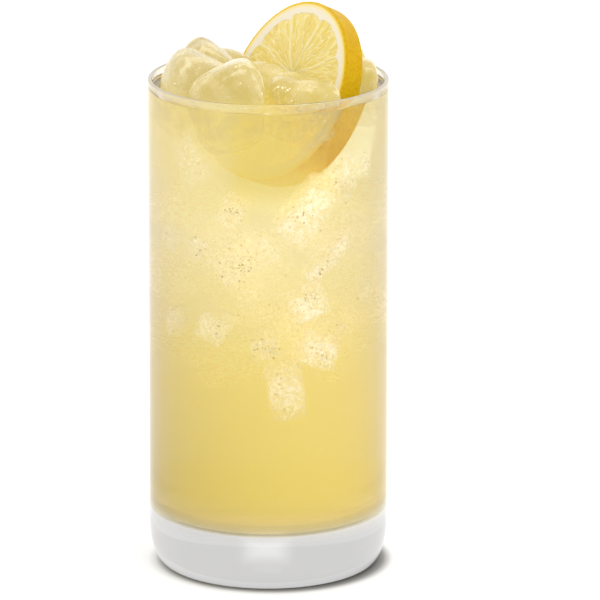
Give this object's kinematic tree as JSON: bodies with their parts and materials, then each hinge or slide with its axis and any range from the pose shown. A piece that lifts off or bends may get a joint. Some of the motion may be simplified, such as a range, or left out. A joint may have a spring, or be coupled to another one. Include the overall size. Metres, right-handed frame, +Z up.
{
  "type": "glass of lemonade",
  "caption": "Tall straight-sided clear glass with a thick base, full of cloudy lemonade, melting ice cubes standing out of it and a wheel of lemon leaning in it.",
  "frame": {"origin": "centre of the flat foot of the glass, on the surface that it stands on", "axes": "+Z up along the glass's axis; +Y away from the viewer, so the lemon wheel stands at the right, its cut face to the front left"},
  "size_m": [0.07, 0.07, 0.1648],
  "materials": {
    "clear_glass": "fire-polished soda-lime glass",
    "lemonade": "cloudy pale yellow drink",
    "lemon": "wet cut pulp, white pith and waxy yellow peel",
    "ice": "wet melting ice tinted by the drink"
  },
  "bodies": {
    "root": {"glass": "clear_glass", "lemonade": "lemonade", "lemon_slice": "lemon", "ice_front_left": "ice", "ice_back_left": "ice", "ice_back": "ice", "ice_front": "ice", "ice_middle": "ice", "ice_front_right": "ice", "ice_right": "ice", "ice_back_right": "ice"}
  },
  "joints": []
}
